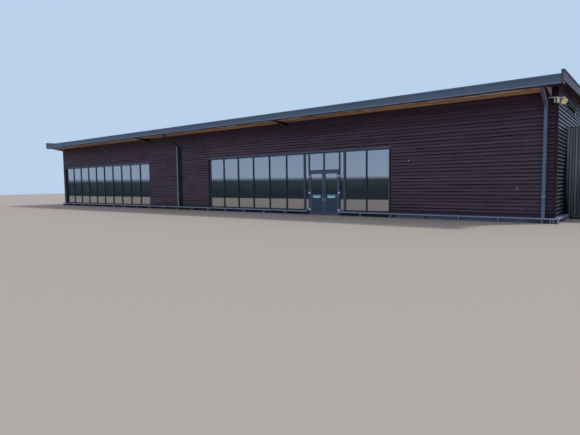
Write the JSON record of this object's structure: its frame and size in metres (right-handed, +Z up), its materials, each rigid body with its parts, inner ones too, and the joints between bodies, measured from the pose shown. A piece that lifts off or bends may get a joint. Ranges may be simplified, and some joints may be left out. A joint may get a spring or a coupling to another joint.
{
  "type": "garden centre building",
  "caption": "Long single-storey shop building clad in dark boards, with shopfront glazing, hinged double doors, a single-slope roof over a deep eave and a short yard screen.",
  "frame": {"origin": "middle of the whole footprint at ground level", "axes": "+X along the front from left to right as seen from outside, +Y from the front to the back, +Z up"},
  "size_m": [39.33, 13.5, 5.6761],
  "materials": {
    "concrete": "rough cast concrete",
    "plinth": "dark coated masonry",
    "cladding": "dark stained horizontal boards",
    "soffit_timber": "orange brown sealed boards",
    "eaves_metal": "satin blue grey coated sheet",
    "verge_metal": "weathered grey coated sheet",
    "ledge_metal": "satin blue grey coated sheet",
    "pipe_metal": "satin blue grey coated pipe",
    "frame_metal": "dark blue grey coated aluminium",
    "glass": "clear reflective glazing",
    "hinge_metal": "bright satin steel",
    "beam_timber": "dark stained laminated timber",
    "cap_metal": "dark grey coated capping",
    "roof_sheet": "grey standing seam sheet",
    "vent_metal": "light grey coated louvre",
    "lamp_body": "off white moulded housing",
    "lamp_lens": "yellowed clear diffuser",
    "screen_boards": "grey green weathered boards",
    "screen_frame": "dark weathered timber"
  },
  "bodies": {
    "root": {"floor_slab": "concrete", "entrance_step": "concrete", "plinth_front": "plinth", "plinth_back": "plinth", "plinth_sides": "plinth", "ledge_front": "ledge_metal", "ledge_back": "ledge_metal", "ledge_sides": "ledge_metal", "ledge_brackets": "ledge_metal", "wall_front_left": "cladding", "wall_front_middle": "cladding", "wall_front_right": "cladding", "wall_front_head": "cladding", "wall_back": "cladding", "wall_left": "cladding", "wall_right": "cladding", "corner_boards": "cladding", "window_1_frame": "frame_metal", "window_1_glass": "glass", "window_2_left_frame": "frame_metal", "window_2_left_glass": "glass", "window_2_right_frame": "frame_metal", "window_2_right_glass": "glass", "head_flashings": "ledge_metal", "entrance_left_frame": "frame_metal", "entrance_right_frame": "frame_metal", "fanlight_frame": "frame_metal", "entrance_glass": "glass", "entrance_threshold": "hinge_metal", "post_hinges": "hinge_metal", "roof_beams": "beam_timber", "roof_deck": "roof_sheet", "eaves_fascia": "eaves_metal", "gutter_sole": "eaves_metal", "gutter_back": "eaves_metal", "gutter_stop_ends": "verge_metal", "eaves_soffit": "soffit_timber", "verge_boxes": "verge_metal", "verge_panels": "verge_metal", "verge_caps": "cap_metal", "back_fascia": "eaves_metal", "downpipe_left": "pipe_metal", "downpipe_right": "pipe_metal", "side_vent": "vent_metal", "lamp_housing": "lamp_body", "lamp_lens": "lamp_lens", "lamp_bracket": "lamp_body", "yard_screen_posts": "screen_frame", "yard_screen_sheet": "screen_boards", "yard_screen_cap": "screen_frame"},
    "left_leaf": {"left_leaf_frame": "frame_metal", "left_leaf_glass": "glass", "left_leaf_hinges": "hinge_metal", "left_leaf_pull": "frame_metal"},
    "right_leaf": {"right_leaf_frame": "frame_metal", "right_leaf_glass": "glass", "right_leaf_hinges": "hinge_metal", "right_leaf_pull": "frame_metal"}
  },
  "joints": [
    {"name": "left_door", "type": "hinge", "parent": "root", "child": "left_leaf", "pos_m": [6.2975, -5.472, 1], "axis": [0, 0, -1], "range_deg": [0, 90]},
    {"name": "right_door", "type": "hinge", "parent": "root", "child": "right_leaf", "pos_m": [8.0325, -5.472, 1], "axis": [0, 0, 1], "range_deg": [0, 90]}
  ]
}
